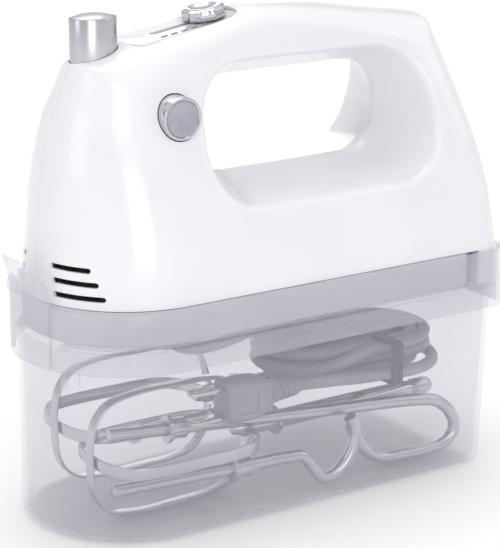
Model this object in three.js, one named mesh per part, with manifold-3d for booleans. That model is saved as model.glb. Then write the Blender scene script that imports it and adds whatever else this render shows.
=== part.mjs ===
// Hand mixer standing on its clear storage case, with its beaters, dough hooks and power cord
// packed inside. Millimetres, +Z up. The nose points to -X and the handle's heel to +X. The origin
// is the middle of the face that the case stands on.
import * as THREE from "three";
import { mergeVertices } from "three/addons/utils/BufferGeometryUtils.js";
import Module from "manifold-3d";

const wasm = await Module();
wasm.setup();

// ---- Driving dimensions ----

const gap = 0.3; // between neighbouring pieces
const cut = 60; // how far a cutting tool runs past what it cuts

// Storage case: a drafted tub with a tray on top that the mixer drops into
const tub = {
  width: 90.4, topWidth: 91, nose: -107.2, rear: 95.3, topRear: 99.4, top: 80.9, wall: 2.2, corner: 8,
};
const tray = {
  width: 96, nose: -110, rear: 104.2, bottom: 72.7, top: 98, corner: 9, wall: 2.1, floor: 81.2,
  floorWall: 1.6,
};
const rimFlange = { reach: 5, width: 76, top: 97.6, thick: 2, roll: 1.5 };
const cordWindow = { from: -82, to: 84, width: 60 };
const tongue = { width: 33.2, shoulder: 99, top: 117, flare: 8, webRadius: 5.4 };

// Mixer housing, as level sections: height, half width, nose, rear, rear corner radius
const wall = 2.2;
const housingBottom = 98.6;
const housingLevels = [
  [housingBottom, 45.2, -105, 101.4, 8],
  [110, 44.6, -103.7, 101, 9],
  [124, 43, -102.3, 99.8, 10],
  [138, 40.2, -101.2, 98.2, 12],
  [150, 36.8, -99.7, 96, 13],
  [162, 32.6, -97.4, 93.4, 14],
  [172, 28.8, -94.3, 91, 14],
  [182, 24.6, -89.4, 88, 13],
  [191, 20.8, -86.2, 85.4, 12],
  [200, 18.2, -83, 84, 11],
  [213, 16.4, -80, 83, 10],
];
const topLine = [[-125, 179], [-86, 191.8], [-64, 197.4], [-49, 201.1], [-35, 203.3], [-5.6, 209.2],
  [12, 207.9], [37, 204.9], [56, 201.8], [85, 197.7], [125, 190]];
// Handle opening at the middle plane, and how much each edge flares per millimetre outwards
const opening = { front: -33, rear: 63, bottom: 140, top: 180, corner: 18 };
const flare = { front: 0.3, rear: 0.31, bottom: 0.18, top: 0.45, reach: 50 };
const cover = { width: 90, nose: -104.6, rear: 87.6, bottom: 83.2, top: 98.2, floor: 2.4, corner: 10 };
const heel = { width: 90, rear: 101.2, corner: 7 };
const vents = { heights: [103, 108.5, 114], inner: [12.5, 11.5, 10], outer: [33, 30.5, 27.5], height: 2.1 };
const bosses = [[-84, 22], [-84, -22], [79, 30], [79, -30]];
const boss = { outer: 4.2, bore: 2, top: 116, head: 3.6, headSeat: 93 };

// Controls
const plate = { x: -37, z: 201.3, tilt: 0.152, length: 50, width: 23, thick: 2.4, slotWidth: 5 };
const knob = { radius: 9.25, height: 5, park: 14, travel: 24, stem: 1.9, lobes: 12 };
const eject = { x: -75, length: 20, width: 16, top: 211, bottom: 181 };
const turbo = { x: -54, z: 171, radius: 8.75, face: -33.4, back: -22.4, flange: 9.6, stem: 3 };

// Drive: a motor along X, a worm on its shaft and two worm wheels on the beater spindles
const axisZ = 112;
const worm = { mean: 4.85, depth: 1, from: -62, to: -42 };
const wheel = {
  x: -52, offset: 20, teeth: 24, mean: 14.8, depth: 1, face: 6, hub: 6, bore: 4.2, bottom: 84.6, top: 122.4,
};
const lead = (2 * Math.PI * 15) / wheel.teeth; // one thread start, pitch radius 15
const shaft = { radius: 3, from: -71, to: 62 };
const stator = { from: 0, length: 24, width: 46, height: 40, rim: 4, pole: 9.6, bore: 12.6 };
const rotor = { radius: 12, slots: 12 };
const commutator = { from: 34, to: 46, radius: 8 };
const brush = { size: 5, length: 13 };
const fan = { from: -20, to: -10, radius: 17, blades: 9 };

// Accessories in the tub
const beaters = [{ name: "beater_1", y: -15, z: 29.2 }, { name: "beater_2", y: 15, z: 35.4 }];
const beater = {
  front: -89, hub: -13, end: 87, half: 26, strip: 5.5, thick: 1.1, shaft: 4, tip: 2.6, collar: 6.2,
};
const rod = 2.75;
// The first hook kinks down and curls up past its shaft; the second curls down and back under it
const hooks = [{
  name: "dough_hook_1", start: [-85, -26, 19.3], heading: -0.1, lean: 0, length: 89, collarAt: 54,
  bend: [[-6, 0], [-1, -0.6], [2.4, -3.6], [5.6, -8], [8.6, -11.6], [11.6, -12.8], [15, -12], [19.4, -8.8],
    [23, -3.6], [25, 2.4], [25, 8], [22.6, 13]],
}, {
  name: "dough_hook_2", start: [-82, -18, 40.3], heading: -0.089, lean: 0.068, length: 151, collarAt: 26,
  bend: [[0, 0], [7, -0.8], [13, -3.6], [17.8, -8.4], [20, -14], [18.4, -19], [13.6, -22.2], [7, -23.6],
    [-8, -25], [-16, -25.2], [-22.4, -23], [-28, -18.6], [-32, -13.4], [-34.5, -8]],
}];

// Power cord, folded into a hank inside the tub
const cordRadius = 2.75;
const hank = { front: 4, rear: 91.5, half: 25.8, bottom: 41.2, height: 16.5 };
const plug = { x: -34, length: 24, height: 18, width: 14, y: -29.2, z: 48.6 };
const exit = { x: -62, z: 80.2, dip: Math.PI / 6, length: 24 };

// ---- Shape helpers ----

// A geometry as one closed, outward-facing indexed mesh with its shared points merged
function closed(geometry) {
  const bare = geometry.clone();
  bare.deleteAttribute("normal");
  bare.deleteAttribute("uv");
  const merged = mergeVertices(bare, 1e-4);
  const p = merged.attributes.position;
  const corners = [];
  let volume = 0;
  const v = [new THREE.Vector3(), new THREE.Vector3(), new THREE.Vector3()];
  for (let i = 0; i < merged.index.count; i += 3) {
    const t = [0, 1, 2].map((k) => merged.index.getX(i + k));
    if (t[0] === t[1] || t[1] === t[2] || t[2] === t[0]) continue;
    corners.push(t);
    t.forEach((index, k) => v[k].fromBufferAttribute(p, index));
    volume += v[0].dot(v[1].cross(v[2]));
  }
  merged.setIndex(corners.flatMap((t) => (volume < 0 ? [t[0], t[2], t[1]] : t)));
  return merged;
}

function solid(geometry) {
  const g = closed(geometry);
  const mesh = { numProp: 3, vertProperties: new Float32Array(g.attributes.position.array) };
  return new wasm.Manifold(new wasm.Mesh({ ...mesh, triVerts: Uint32Array.from(g.index.array) }));
}

function geometryOf(body) {
  const mesh = body.getMesh();
  const geometry = new THREE.BufferGeometry();
  geometry.setAttribute("position", new THREE.BufferAttribute(mesh.vertProperties, 3));
  geometry.setIndex(new THREE.BufferAttribute(mesh.triVerts, 1));
  geometry.computeVertexNormals();
  return geometry;
}

const union = (...bodies) => bodies.reduce((a, b) => a.add(b));
const difference = (body, ...tools) => tools.reduce((a, b) => a.subtract(b), body);

// Outline points of a shape, counter-clockwise, with no doubled end
function outlineOf(shape, divisions = 3) {
  const points = shape.getPoints(divisions);
  if (points[0].distanceTo(points.at(-1)) < 1e-6) points.pop();
  return THREE.ShapeUtils.isClockWise(points) ? points.reverse() : points;
}

// A skin through outlines with equal numbers of points; place(point, i) puts section i in space
function loft(outlines, place) {
  const count = outlines[0].length;
  const points = outlines.flatMap((outline, i) => outline.map((p) => place(p, i)));
  const index = [];
  for (let i = 0; i + 1 < outlines.length; i++) {
    for (let j = 0; j < count; j++) {
      const [a, b] = [i * count + j, i * count + ((j + 1) % count)];
      index.push(a, b, b + count, a, b + count, a + count);
    }
  }
  const last = (outlines.length - 1) * count;
  THREE.ShapeUtils.triangulateShape(outlines[0], []).forEach(([a, b, c]) => index.push(c, b, a));
  THREE.ShapeUtils.triangulateShape(outlines.at(-1), [])
    .forEach(([a, b, c]) => index.push(last + a, last + b, last + c));
  return new THREE.BufferGeometry().setFromPoints(points).setIndex(index);
}

function box(x0, x1, y0, y1, z0, z1) {
  return new THREE.BoxGeometry(x1 - x0, y1 - y0, z1 - z0)
    .translate((x0 + x1) / 2, (y0 + y1) / 2, (z0 + z1) / 2);
}

// Prisms of a plan shape along Z, a side shape (x, z) along Y and a front shape (y, z) along X
function prismZ(shape, from, to, curveSegments = 4) {
  return new THREE.ExtrudeGeometry(shape, { depth: to - from, bevelEnabled: false, curveSegments })
    .translate(0, 0, from);
}

function prismY(shape, from, to, curveSegments = 4) {
  return prismZ(shape, 0, to - from, curveSegments).rotateX(Math.PI / 2).translate(0, to, 0);
}

function prismX(shape, from, to, curveSegments = 4) {
  const turn = new THREE.Matrix4().makeBasis(
    new THREE.Vector3(0, 1, 0), new THREE.Vector3(0, 0, 1), new THREE.Vector3(1, 0, 0));
  return prismZ(shape, from, to, curveSegments).applyMatrix4(turn);
}

function rounded(x0, x1, y0, y1, r) {
  const shape = new THREE.Shape();
  shape.absarc(x1 - r, y0 + r, r, -Math.PI / 2, 0);
  shape.absarc(x1 - r, y1 - r, r, 0, Math.PI / 2);
  shape.absarc(x0 + r, y1 - r, r, Math.PI / 2, Math.PI);
  shape.absarc(x0 + r, y0 + r, r, Math.PI, 1.5 * Math.PI);
  shape.closePath();
  return shape;
}

function disc(radius, x = 0, y = 0) {
  return new THREE.Shape().absarc(x, y, radius, 0, 2 * Math.PI);
}

// Plan of the case and the mixer: a half-round nose, straight sides and a square, soft-cornered rear
function bullet(half, nose, rear, corner) {
  const shape = new THREE.Shape();
  shape.absarc(rear - corner, corner - half, corner, -Math.PI / 2, 0);
  shape.absarc(rear - corner, half - corner, corner, 0, Math.PI / 2);
  shape.absarc(nose + half, 0, half, Math.PI / 2, Math.PI);
  shape.absarc(nose + half, 0, half, Math.PI, 1.5 * Math.PI);
  shape.closePath();
  return shape;
}

// A turned piece about Z: radius and height pairs from the axis and back to it
function turned(profile, segments = 24) {
  const points = profile.map(([r, z]) => new THREE.Vector2(r, z));
  return new THREE.LatheGeometry(points, segments).rotateX(Math.PI / 2);
}

// The same about X
function turnedX(profile, segments = 24) {
  return turned(profile, segments).rotateY(Math.PI / 2);
}

function curveThrough(points) {
  return new THREE.CatmullRomCurve3(points.map((p) => new THREE.Vector3(...p)), false, "centripetal");
}

function tube(curve, radius, sides, steps) {
  const section = { steps, bevelEnabled: false, extrudePath: curve, curveSegments: sides / 2 };
  return new THREE.ExtrudeGeometry(disc(radius), section);
}

// A coil spring along Z from z0 to z1
function spring(x, y, z0, z1, radius, wire, turns) {
  const steps = turns * 8;
  const points = Array.from({ length: steps + 1 }, (_, i) => {
    const angle = (i / 8) * 2 * Math.PI;
    const z = z0 + wire + ((z1 - z0 - 2 * wire) * i) / steps;
    return [x + radius * Math.cos(angle), y + radius * Math.sin(angle), z];
  });
  return tube(curveThrough(points), wire, 4, steps);
}

// ---- Finishes ----

const finish = (color, roughness, metalness) => ({ color, roughness, metalness });
const whiteAbs = finish(0xf7f7f9, 0.2, 0);
const greyAbs = finish(0xcdced4, 0.3, 0);
const clearPlastic = { ...finish(0xdcdce2, 0.1, 0), transparent: true, opacity: 0.4 };
const chromed = finish(0xc9c9cf, 0.12, 1);
const steel = finish(0xb9b9bf, 0.28, 1);
const darkPvc = finish(0x5d5d66, 0.5, 0);
const blackPlastic = finish(0x26262a, 0.5, 0);
const copper = finish(0xb5673a, 0.35, 1);
const brass = finish(0xc8a24c, 0.3, 1);
const nylon = finish(0xece6d4, 0.45, 0);
const carbon = finish(0x2d2d2d, 0.7, 0);
const zinc = finish(0xa7a9ad, 0.4, 1);

const group = new THREE.Group();

function part(name, shape, look, parent = group) {
  const geometry = shape.isBufferGeometry ? closed(shape) : geometryOf(shape);
  const mesh = new THREE.Mesh(geometry, new THREE.MeshStandardMaterial(look));
  mesh.name = name;
  parent.add(mesh);
  return mesh;
}

// ---- Storage case ----

function tubShell(inset, from, to) {
  const half = (z) => THREE.MathUtils.lerp(tub.width, tub.topWidth, z / tub.top) / 2 - inset;
  const rear = (z) => THREE.MathUtils.lerp(tub.rear, tub.topRear, z / tub.top) - inset;
  const plan = (z) => bullet(half(z), tub.nose + inset, rear(z), tub.corner - inset);
  const outlines = [from, to].map((z) => outlineOf(plan(z)));
  return solid(loft(outlines, (p, i) => new THREE.Vector3(p.x, p.y, [from, to][i])));
}

function storageTub() {
  const catchRib = solid(box(-101, -97, -23.5, -22, 66, 72.2));
  return union(difference(tubShell(0, 0, tub.top), tubShell(tub.wall, tub.wall, tub.top + 1)),
    difference(catchRib, tubShell(0.4, 60, 76)));
}

function trayPlan(inset) {
  return bullet(tray.width / 2 - inset, tray.nose + inset, tray.rear - inset, tray.corner - inset);
}

// The slot in the tray's nose that the tongue stands in, as wide as the tongue plus a clearance
function noseSlot(clearance, from, to) {
  const half = tongue.width / 2 + clearance;
  return solid(box(tray.nose - 20, tray.nose + 12, -half, half, from, to));
}

function storageTray() {
  const tubPlan = bullet(tub.topWidth / 2 + gap, tub.nose - gap, tub.topRear + gap, tub.corner);
  const shell = difference(
    solid(prismZ(trayPlan(0), tray.bottom, tray.top)),
    solid(prismZ(trayPlan(tray.wall), tray.floor + tray.floorWall, tray.top + 1)),
    solid(prismZ(tubPlan, tray.bottom - 1, tray.floor)));
  const { width, top, thick, roll } = rimFlange;
  const edge = tray.rear + rimFlange.reach - roll;
  const rim = union(
    solid(box(tray.rear - 1, edge, -width / 2, width / 2, top - thick, top)),
    solid(prismY(disc(roll, edge, top - thick / 2), -width / 2, width / 2, 5)));
  const half = cordWindow.width / 2;
  const windowPlan = rounded(cordWindow.from, cordWindow.to, -half, half, 12);
  const window = solid(prismZ(windowPlan, tray.bottom, tray.top));
  return difference(union(shell, rim), window, noseSlot(0.8, tray.bottom - 1, tray.top + 1));
}

// A tongue that follows the nose's arc, rises past the tray's rim and flares out to an arched lip
function frontTongue() {
  const centre = tray.nose + tray.width / 2;
  const levels = [0, 0, 0.15, 0.4, 0.7, 0.9, 1];
  const rise = tongue.top - tongue.shoulder;
  const heights = levels.map((t, i) => (i === 0 ? tray.bottom : tongue.shoulder + rise * t));
  const sector = (outer, half, thick) => {
    const shape = new THREE.Shape();
    const turn = Math.asin(half / outer);
    shape.absarc(centre, 0, outer, Math.PI - turn, Math.PI + turn);
    shape.absarc(centre, 0, outer - thick, Math.PI + turn, Math.PI - turn, true);
    shape.closePath();
    return outlineOf(shape, 4);
  };
  const outlines = levels.map((t) => {
    const half = (tongue.width / 2) * Math.sqrt(1 - 0.86 * t ** 2);
    return sector(tray.width / 2 + tongue.flare * t ** 1.6, half, 1.9);
  });
  const sheet = solid(loft(outlines, (p, i) => new THREE.Vector3(p.x, p.y, heights[i])));
  const web = solid(prismY(disc(tongue.webRadius, tray.nose - 0.6, 106), -0.9, 0.9, 8));
  return union(sheet, difference(web, solid(prismZ(bullet(46.4, tray.nose + 1.6, 0, 5), 90, 125))));
}

part("storage_tub", storageTub(), clearPlastic);
part("storage_tray", storageTray(), clearPlastic);
part("front_latch", frontTongue(), clearPlastic);

// ---- Mixer housing ----

function housingLoft(inset) {
  const levels = housingLevels.map(([z, half, nose, rear, corner]) => ({
    z: z === housingBottom && inset ? z - 1 : z,
    outline: outlineOf(bullet(half - inset, nose + inset, rear - inset, corner - inset)),
  }));
  return solid(loft(levels.map((l) => l.outline), (p, i) => new THREE.Vector3(p.x, p.y, levels[i].z)));
}

function underTopLine(drop) {
  const curve = new THREE.SplineCurve(topLine.map(([x, z]) => new THREE.Vector2(x, z - drop)));
  const shape = new THREE.Shape(curve.getPoints(20));
  shape.lineTo(125, 60);
  shape.lineTo(-125, 60);
  return solid(prismY(shape, -cut, cut));
}

function handleOpening(inset) {
  const places = [-flare.reach, 0, flare.reach];
  const outlines = places.map((y) => {
    const out = Math.abs(y);
    const grow = (edge) => flare[edge] * out + inset;
    return outlineOf(rounded(
      opening.front - grow("front"), opening.rear + grow("rear"),
      opening.bottom - grow("bottom"), opening.top + grow("top"), opening.corner + inset));
  });
  return solid(loft(outlines, (p, i) => new THREE.Vector3(p.x, places[i], p.y)));
}

function heelBlock(inset) {
  const plan = bullet(heel.width / 2 - inset, cover.nose, heel.rear - inset, heel.corner);
  const front = cover.rear + 2 * gap + inset;
  return solid(prismZ(plan, cover.bottom + inset, housingBottom + (inset ? 1 : 0.5)))
    .intersect(solid(box(front, 120, -cut, cut, 80, 120)));
}

function bossPost(x, y, radius, from, to) {
  return solid(prismZ(disc(radius, x, y), from, to, 6));
}

function housingShell() {
  const form = (inset) => difference(housingLoft(inset).intersect(underTopLine(inset)), handleOpening(inset));
  const hollow = union(form(wall), heelBlock(wall));
  const shell = difference(union(form(0), heelBlock(0)), hollow);
  const posts = bosses.map(([x, y]) => {
    const side = Math.sign(y);
    const web = solid(box(x - 1, x + 1, side > 0 ? y : -44, side > 0 ? 44 : y, housingBottom, boss.top));
    return union(bossPost(x, y, boss.outer, housingBottom, boss.top), web)
      .intersect(housingLoft(0.5))
      .subtract(bossPost(x, y, boss.bore, housingBottom - 1, boss.top - 3));
  });
  return union(shell, ...posts);
}

function ventSlots() {
  return union(...vents.heights.flatMap((z, i) => [-1, 1].map((side) => {
    const ends = [vents.inner[i] * side, vents.outer[i] * side].sort((a, b) => a - b);
    return solid(box(-112, -82, ...ends, z - vents.height / 2, z + vents.height / 2));
  })));
}

function platePocket() {
  const half = plate.width / 2 + gap;
  const shape = rounded(-plate.length / 2 - gap, plate.length / 2 + gap, -half, half, 6 + gap);
  return solid(prismZ(shape, -plate.thick - 3, 14).rotateY(-plate.tilt).translate(plate.x, 0, plate.z));
}

function ejectPlan(grow) {
  const [a, b] = [eject.length / 2 + grow, eject.width / 2 + grow];
  return new THREE.Shape().absellipse(eject.x, 0, a, b, 0, 2 * Math.PI);
}

function housingHalf(side) {
  const y = side > 0 ? [gap / 2, cut] : [-cut, -gap / 2];
  return difference(
    housingShell().intersect(solid(box(-130, 130, ...y, 60, 230))),
    ventSlots(),
    platePocket(),
    solid(prismZ(ejectPlan(gap), 176, 230, 6)),
    solid(prismY(disc(turbo.radius + gap, turbo.x, turbo.z), -cut, -12, 10)));
}

part("left_housing", housingHalf(-1), whiteAbs);
part("right_housing", housingHalf(1), whiteAbs);

function portPlane(shape) {
  return shape.rotateY(Math.PI / 2 + exit.dip).translate(exit.x, 0, exit.z);
}

function bottomCover() {
  const { width, nose, rear, corner } = cover;
  const plan = (inset) => bullet(width / 2 - inset, nose + inset, rear - inset, corner - inset);
  const shell = difference(
    solid(prismZ(plan(0), cover.bottom, cover.top)),
    solid(prismZ(plan(wall), cover.bottom + cover.floor, cover.top + 1)));
  const posts = bosses.map(([x, y]) => bossPost(x, y, boss.head + 1.4, cover.bottom, cover.top));
  const bores = bosses.flatMap(([x, y]) => [
    bossPost(x, y, boss.head + gap, cover.bottom - 1, boss.headSeat),
    bossPost(x, y, boss.bore, cover.bottom, cover.top + 1)]);
  const sockets = [-1, 1].map((side) => bossPost(
    wheel.x, side * wheel.offset, wheel.hub + 0.6, cover.bottom - 1, 90));
  const port = solid(portPlane(turned([[0, -14], [8.2, -14], [8.2, -2], [0, -2]], 16)))
    .intersect(solid(box(-100, 0, -20, 20, cover.bottom, 95)));
  const bore = solid(portPlane(turned([[0, -30], [6.4, -30], [6.4, 8], [0, 8]], 16)));
  return difference(union(shell, port, ...posts), ...bores, ...sockets, bore);
}

part("bottom_cover", bottomCover(), greyAbs);

bosses.forEach(([x, y], i) => {
  const profile = [[0, 0], [boss.head, 0], [boss.head, 2.2], [1.6, 2.2], [1.6, 19], [0, 20]];
  part(`housing_screw_${i + 1}`, turned(profile, 12).translate(x, y, boss.headSeat - 2.2 - gap), zinc);
});

// ---- Controls ----

const panel = new THREE.Group(); // the tilted control panel: its top face is the group's z = 0
panel.position.set(plate.x, 0, plate.z);
panel.rotation.y = -plate.tilt;
group.add(panel);

function topPlate() {
  const shape = rounded(-plate.length / 2, plate.length / 2, -plate.width / 2, plate.width / 2, 6);
  const half = plate.slotWidth / 2;
  const slot = rounded(knob.park - knob.travel - half, knob.park + half, -half, half, 2.4);
  return difference(solid(prismZ(shape, -plate.thick, 0)), solid(prismZ(slot, -plate.thick - 1, 1)));
}

function knobDisc() {
  const outline = (radius) => Array.from({ length: 36 }, (_, i) => {
    const angle = (i / 36) * 2 * Math.PI;
    const r = radius - 0.35 + 0.35 * Math.cos(angle * knob.lobes);
    return new THREE.Vector2(r * Math.cos(angle), r * Math.sin(angle));
  });
  const [low, high] = [0.5, 0.5 + knob.height];
  const heights = [low, low + 1, high - 1, high];
  const radii = [knob.radius - 0.6, knob.radius, knob.radius, knob.radius - 1];
  const body = solid(loft(radii.map(outline), (p, i) => new THREE.Vector3(p.x, p.y, heights[i])));
  const dimple = solid(new THREE.SphereGeometry(12, 16, 10).translate(0, 0, high + 10.8));
  const stem = solid(prismZ(disc(knob.stem), -5.5, 2, 6));
  return union(difference(body, dimple), stem).translate([knob.park, 0, 0]);
}

function knobCarriage() {
  const block = solid(prismZ(rounded(knob.park - 7, knob.park + 7, -5, 5, 2), -6.6, -3, 4));
  return difference(block, solid(prismZ(disc(knob.stem + gap, knob.park, 0), -5.9, 0, 6)));
}

part("top_plate", topPlate(), whiteAbs, panel);
part("speed_knob", knobDisc(), chromed, panel);
part("speed_carriage", knobCarriage(), blackPlastic, panel);
part("speed_switch", box(-21, 21, -7, 7, -16, -7.2), blackPlastic, panel);

function ejectButton() {
  const levels = [[eject.bottom, 0], [eject.top - 2.6, 0], [eject.top - 1, 0.6], [eject.top, 2.6]];
  const outlines = levels.map(([, inset]) => outlineOf(ejectPlan(-inset), 8));
  const cap = solid(loft(outlines, (p, i) => new THREE.Vector3(p.x, p.y, levels[i][0])));
  return difference(cap, solid(prismZ(ejectPlan(-1.8), eject.bottom - 1, eject.top - 6, 8)));
}

// A stem under the button, an arm over the spindles and a finger over each of them
function ejectorFork() {
  const stem = solid(box(eject.x - 3, eject.x + 3, -4, 4, 130, eject.top - 6.4));
  const arm = solid(prismZ(rounded(eject.x - 13, wheel.x + 5, -5, 5, 4), 130, 134, 4));
  const bar = solid(box(wheel.x - 4, wheel.x + 4, -wheel.offset - 4, wheel.offset + 4, 130, 134));
  const fingers = [-1, 1].map((side) => bossPost(wheel.x, side * wheel.offset, 3.4, 125.5, 131));
  return union(stem, arm, bar, ...fingers);
}

part("eject_button", ejectButton(), chromed);
part("ejector_fork", ejectorFork(), nylon);
part("eject_spring", spring(eject.x - 8, 0, 99.6, 129.7, 3.6, 0.6, 7), steel);

function turboButton() {
  const r = turbo.radius;
  const long = turbo.back - turbo.face;
  const profile = [[0, 1.2], [r - 2.4, 0.9], [r - 1.6, 0], [r - 0.6, 0.1], [r, 0.8], [r, long],
    [turbo.flange, long], [turbo.flange, long + 1.6], [turbo.stem, long + 1.6], [turbo.stem, long + 7.4],
    [0, long + 7.4]];
  return turned(profile, 20).rotateX(-Math.PI / 2).translate(turbo.x, turbo.face, turbo.z);
}

const turboSpring = spring(0, 0, 0, 9, 4.6, 0.5, 5).rotateX(-Math.PI / 2)
  .translate(turbo.x, turbo.back + 1.9, turbo.z);
part("turbo_button", turboButton(), chromed);
part("turbo_spring", turboSpring, steel);
part("turbo_switch", box(turbo.x - 9, turbo.x + 9, -11.2, -5, turbo.z - 7, turbo.z + 7), blackPlastic);

// ---- Drive ----

// A turning piece's section at angle a: radius mean + depth at each crest
function crestOutline(count, mean, depth, crests, phase) {
  return Array.from({ length: count }, (_, i) => {
    const angle = (i / count) * 2 * Math.PI;
    const r = mean + depth * Math.cos(crests * angle - phase);
    return new THREE.Vector2(r * Math.cos(angle), r * Math.sin(angle));
  });
}

// Front view angles run from +Y towards +Z; the thread moves along +X as the angle grows
function armatureShaft() {
  const perLead = 8;
  const steps = Math.round(((worm.to - worm.from) / lead) * perLead);
  const places = Array.from({ length: steps + 1 }, (_, i) => worm.from + ((worm.to - worm.from) * i) / steps);
  const phase = (x) => ((x - wheel.x) / lead) * 2 * Math.PI + Math.PI;
  const outlines = places.map((x) => crestOutline(14, worm.mean, worm.depth, 1, phase(x)));
  const thread = solid(loft(outlines, (p, i) => new THREE.Vector3(places[i], p.x, axisZ + p.y)));
  return union(thread, solid(prismX(disc(shaft.radius, 0, axisZ), shaft.from, shaft.to, 8)));
}

function wormWheel(side) {
  const count = wheel.teeth * 4;
  const places = [-wheel.face / 2, wheel.face / 2];
  // The teeth lean with the thread, and a tooth faces the thread's groove on the line of centres
  const lean = (z) => (z / (2 * Math.PI * 5)) * lead / 15;
  const outlines = places.map((z) => crestOutline(count, wheel.mean, wheel.depth, wheel.teeth,
    wheel.teeth * (-side * Math.PI / 2 + lean(z)) + (side > 0 ? 0 : Math.PI)));
  const rim = solid(loft(outlines, (p, i) => new THREE.Vector3(p.x, p.y, axisZ + places[i])));
  const hub = solid(prismZ(disc(wheel.hub), wheel.bottom, wheel.top, 10));
  const bore = solid(prismZ(disc(wheel.bore), wheel.bottom - 1, wheel.top + 1, 10));
  return difference(union(rim, hub), bore).translate([wheel.x, side * wheel.offset, 0]);
}

const atMotor = (geometry) => geometry.translate(0, 0, axisZ);
part("armature_shaft", armatureShaft(), steel);
part("worm_wheel_left", wormWheel(-1), nylon);
part("worm_wheel_right", wormWheel(1), nylon);

function rotorCore() {
  const [from, to] = [stator.from, stator.from + stator.length];
  const slot = (i) => solid(prismX(rounded(-1.2, 1.2, 7, 14, 1), from - 1, to + 1, 2)
    .rotateX((i / rotor.slots) * 2 * Math.PI).translate(0, 0, axisZ));
  const core = solid(prismX(disc(rotor.radius, 0, axisZ), from, to, 12));
  const bore = solid(prismX(disc(shaft.radius + gap, 0, axisZ), -5, 40, 8));
  return difference(core, bore, ...Array.from({ length: rotor.slots }, (_, i) => slot(i)));
}

function coilEnd(from, to) {
  const inner = shaft.radius + 0.6;
  const middle = (from + to) / 2;
  const profile = [[inner, from], [9.5, from], [11, middle], [9.5, to], [inner, to], [inner, from]];
  return atMotor(turnedX(profile, 24));
}

const statorEnd = stator.from + stator.length;
part("armature_core", rotorCore(), zinc);
part("armature_winding_front", coilEnd(stator.from - 7, stator.from - gap), copper);
part("armature_winding_rear", coilEnd(statorEnd + gap, statorEnd + 7), copper);
const barrel = shaft.radius + gap;
part("commutator", atMotor(turnedX([[barrel, commutator.from], [commutator.radius + 1, commutator.from],
  [commutator.radius, commutator.from + 2], [commutator.radius, commutator.to], [barrel, commutator.to],
  [barrel, commutator.from]], 24)), copper);

function coolingFan() {
  const back = solid(prismX(disc(fan.radius, 0, axisZ), fan.to - 1.6, fan.to, 12));
  const hub = solid(prismX(disc(6, 0, axisZ), fan.from, fan.to, 8));
  const blades = Array.from({ length: fan.blades }, (_, i) =>
    solid(box(fan.from, fan.to - 1, -0.7, 0.7, 5, fan.radius - 0.5)
      .rotateX((i / fan.blades) * 2 * Math.PI).translate(0, 0, axisZ)));
  const bore = solid(prismX(disc(shaft.radius + gap, 0, axisZ), fan.from - 1, fan.to + 1, 8));
  return difference(union(back, hub, ...blades), bore);
}

part("cooling_fan", coolingFan(), blackPlastic);

function statorCore() {
  const [y, z, rim] = [stator.width / 2, stator.height / 2, stator.rim];
  const slab = (y0, y1, z0, z1, r) => solid(prismX(rounded(y0, y1, z0, z1, r), stator.from, statorEnd, 4));
  const frame = difference(slab(-y, y, -z, z, 5), slab(rim - y, y - rim, rim - z, z - rim, 2));
  const pole = (y0, y1) => solid(box(stator.from, statorEnd, y0, y1, -stator.pole, stator.pole));
  const poles = [pole(-y + 1, -9), pole(9, y - 1)];
  const bore = solid(prismX(disc(stator.bore), stator.from - 1, statorEnd + 1, 10));
  return difference(union(frame, ...poles), bore).translate([0, 0, axisZ]);
}

function fieldCoil(side) {
  const [x0, x1, pole] = [stator.from - gap, statorEnd + gap, stator.pole + gap];
  const outer = rounded(x0 - 4.6, x1 + 4.6, axisZ - pole - 4.6, axisZ + pole + 4.6, 4.6);
  outer.holes.push(rounded(x0, x1, axisZ - pole, axisZ + pole, 0.4));
  return side > 0 ? prismY(outer, 13.4, 18.4, 4) : prismY(outer, -18.4, -13.4, 4);
}

part("stator_core", statorCore(), zinc);
part("field_coil_left", fieldCoil(-1), copper);
part("field_coil_right", fieldCoil(1), copper);

for (const [side, name] of [[-1, "left"], [1, "right"]]) {
  const middle = (commutator.from + commutator.to) / 2 + 1;
  const start = commutator.radius + gap;
  const reach = [start * side, (start + brush.length) * side].sort((a, b) => a - b);
  const half = brush.size / 2;
  part(`brush_${name}`, box(middle - half, middle + half, ...reach, axisZ - half, axisZ + half), carbon);
  const square = (grow, r) => rounded(
    middle - half - grow, middle + half + grow, axisZ - half - grow, axisZ + half + grow, r);
  const sleeve = square(1.4, 1);
  sleeve.holes.push(square(gap, 0.2));
  const [from, to] = side > 0 ? [commutator.radius + 2, 30] : [-30, -commutator.radius - 2];
  part(`brush_holder_${name}`, prismY(sleeve, from, to, 2), brass);
}

// One bracket carries the spindles, the worm end of the shaft and the front bearing
function chassis() {
  const plateZ = [95.6, 98.8];
  const floor = solid(prismZ(rounded(-79, -26, -33, 33, 8), ...plateZ, 4));
  const backWall = solid(prismX(rounded(-22, 22, plateZ[0], axisZ + 16, 6), -32, -26, 4));
  const nosePost = solid(prismX(rounded(-8, 8, plateZ[0], axisZ + 9, 5), -73, -66, 4));
  const bores = [
    solid(prismX(disc(shaft.radius + gap, 0, axisZ), -70.7 - gap, -60, 8)),
    solid(prismX(disc(8 + gap, 0, axisZ), -33, -25, 10)),
    ...[-1, 1].map((side) => bossPost(wheel.x, side * wheel.offset, wheel.hub + 0.35, 90, 105)),
  ];
  return difference(union(floor, backWall, nosePost), ...bores);
}

function bearing(x0, x1) {
  const bore = shaft.radius + 0.1;
  return atMotor(turnedX([[bore, x0], [8, x0], [8, x1], [bore, x1], [bore, x0]], 20));
}

function rearBracket() {
  const strap = solid(prismX(rounded(-24, 24, axisZ - 13, axisZ + 13, 8), 52, 58, 4));
  return difference(strap, solid(prismX(disc(8 + gap, 0, axisZ), 51, 59, 10)));
}

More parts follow.
